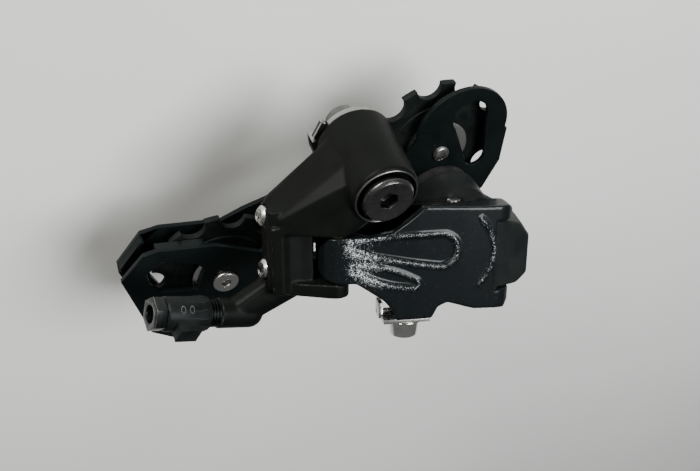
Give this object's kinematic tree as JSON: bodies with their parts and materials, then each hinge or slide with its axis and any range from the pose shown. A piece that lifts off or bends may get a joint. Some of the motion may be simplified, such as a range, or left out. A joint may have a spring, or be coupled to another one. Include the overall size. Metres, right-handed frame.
{
  "type": "rear bicycle derailleur",
  "caption": "Rear bicycle derailleur with a sprung bracket body, a slant parallelogram, a long cage and toothed pulleys.",
  "frame": {"origin": "on the mounting bolt's axis, at the outer face of the frame's hanger", "axes": "+X forward on the bicycle, +Y up, +Z outboard along the mounting bolt"},
  "size_m": [0.1353, 0.0857, 0.0642],
  "materials": {
    "black_alloy": "satin black coating",
    "link_paint": "glossy dark grey metal-flake lacquer",
    "link_dark": "satin dark grey coating",
    "knuckle_grey": "satin grey coating",
    "plate_black": "blue-black coated steel plate",
    "bolt_dark": "dark polished steel",
    "zinc": "zinc-plated steel",
    "spring_steel": "drawn spring wire",
    "chrome_bolt": "bright plated steel",
    "bronze": "sintered bronze",
    "rubber_black": "black nitrile",
    "plastic_black": "moulded black nylon",
    "pulley_resin": "moulded black pulley resin"
  },
  "bodies": {
    "hanger_group": {"mounting_bolt": "bolt_dark", "pivot_sleeve": "zinc", "retaining_ring": "spring_steel", "stop_plate": "zinc", "dust_seal": "rubber_black"},
    "bracket": {"bracket_body": "black_alloy", "bracket_spring": "spring_steel", "bracket_pins": "zinc", "return_spring": "spring_steel", "adjuster_spring": "spring_steel"},
    "b_tension_screw": {"b_tension_screw": "zinc"},
    "high_limit_screw": {"high_limit_screw": "zinc"},
    "low_limit_screw": {"low_limit_screw": "zinc"},
    "adjuster": {"adjuster_screw": "zinc", "adjuster_knob": "plastic_black"},
    "outer_link": {"outer_link": "link_paint", "outer_link_pin": "zinc", "link_bushes": "bronze", "cable_anchor_bolt": "chrome_bolt", "cable_clamp_plate": "zinc"},
    "inner_link": {"inner_link": "link_dark", "inner_link_pin": "zinc"},
    "pulley_body": {"pulley_body": "knuckle_grey", "cage_spring": "spring_steel", "shaft_retaining_screw": "zinc", "pulley_body_bush": "bronze"},
    "cage": {"cage_pivot_shaft": "zinc", "cage_seal": "rubber_black", "outer_cage_plate": "plate_black", "inner_cage_plate": "plate_black", "cage_stop_pin": "zinc", "guide_pulley_bush": "zinc", "guide_pulley_caps": "zinc", "guide_pulley_bolt": "zinc", "tension_pulley_bush": "zinc", "tension_pulley_caps": "zinc", "tension_pulley_bolt": "zinc"},
    "guide_pulley": {"guide_pulley": "pulley_resin"},
    "tension_pulley": {"tension_pulley": "pulley_resin"}
  },
  "joints": [
    {"name": "bracket_pivot", "type": "hinge", "parent": "hanger_group", "child": "bracket", "pos_m": [0, 0, 0.012], "axis": [0, 0, -1], "range_deg": [0, 40], "stiffness_Nm_per_rad": 0.3, "springref_deg": -28.65},
    {"name": "link_swing", "type": "hinge", "parent": "bracket", "child": "outer_link", "pos_m": [-0.023, -0.009, 0.028], "axis": [0.621, 0.6554, -0.4299], "range_deg": [0, 36], "stiffness_Nm_per_rad": 1.2, "springref_deg": -22.92},
    {"name": "inner_link_swing", "type": "hinge", "parent": "bracket", "child": "inner_link", "pos_m": [-0.03113, -0.00765, 0.0183], "axis": [0.621, 0.6554, -0.4299], "range_deg": [0, 36]},
    {"name": "pulley_body_pivot", "type": "hinge", "parent": "outer_link", "child": "pulley_body", "pos_m": [0.01177, -0.03617, 0.03682], "axis": [0.621, 0.6554, -0.4299], "range_deg": [-36, 0]},
    {"name": "cage_pivot", "type": "hinge", "parent": "pulley_body", "child": "cage", "pos_m": [0.0062, -0.0463, 0], "axis": [0, 0, 1], "range_deg": [0, 115], "stiffness_Nm_per_rad": 0.35, "springref_deg": -45.84},
    {"name": "guide_spin", "type": "hinge", "parent": "cage", "child": "guide_pulley", "pos_m": [0.01618, -0.032, -0.008], "axis": [0, 0, 1], "continuous": true},
    {"name": "tension_spin", "type": "hinge", "parent": "cage", "child": "tension_pulley", "pos_m": [-0.06288, -0.01839, -0.008], "axis": [0, 0, 1], "continuous": true},
    {"name": "adjuster_turn", "type": "hinge", "parent": "bracket", "child": "adjuster", "pos_m": [-0.06046, 0.00212, 0.02421], "axis": [-0.4966, 0.8654, 0.0667], "range_deg": [-180, 180]},
    {"name": "high_limit_turn", "type": "hinge", "parent": "bracket", "child": "high_limit_screw", "pos_m": [-0.03072, 0.00773, 0.01304], "axis": [-0.4966, 0.8654, 0.0667], "range_deg": [-180, 180]},
    {"name": "low_limit_turn", "type": "hinge", "parent": "bracket", "child": "low_limit_screw", "pos_m": [-0.04066, -0.00275, 0.01992], "axis": [-0.4966, 0.8654, 0.0667], "range_deg": [-180, 180]},
    {"name": "b_tension_turn", "type": "hinge", "parent": "bracket", "child": "b_tension_screw", "pos_m": [-0.00304, -0.01428, 0.006], "axis": [-0.9781, 0.2079, 0], "range_deg": [-180, 180]}
  ],
  "couplings": [
    {"joint": "inner_link_swing", "follows": "link_swing", "ratio": 1},
    {"joint": "pulley_body_pivot", "follows": "link_swing", "ratio": -1}
  ]
}
